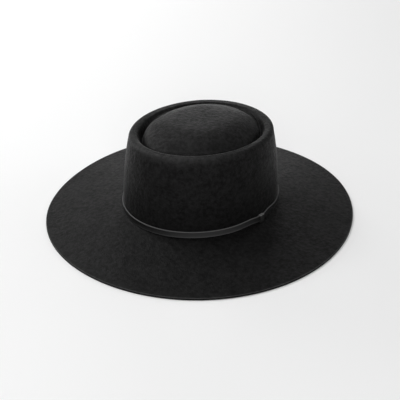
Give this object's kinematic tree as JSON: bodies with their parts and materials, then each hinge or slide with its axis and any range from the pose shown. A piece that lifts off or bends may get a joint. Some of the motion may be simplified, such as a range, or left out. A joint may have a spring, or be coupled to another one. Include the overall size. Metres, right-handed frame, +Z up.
{
  "type": "telescope crown hat",
  "caption": "Wide-brimmed black felt hat with a telescope crown, its dome set in a groove behind a raised rim, and a thin leather strap held by a keeper.",
  "frame": {"origin": "middle of the hat's outline, on the surface that the brim rests on", "axes": "+Z up, the front of the hat towards -Y, the wearer's left towards +X"},
  "size_m": [0.3724, 0.3878, 0.122],
  "materials": {
    "felt": "matt black wool felt with a short even nap",
    "strap_leather": "smooth black leather, slightly glossy, with a creased line along each edge",
    "tail_leather": "smooth black leather, slightly glossy",
    "keeper_leather": "smooth black leather, slightly glossy"
  },
  "bodies": {
    "root": {"felt_body": "felt", "hat_band": "strap_leather", "band_tail": "tail_leather", "band_keeper": "keeper_leather"}
  },
  "joints": []
}
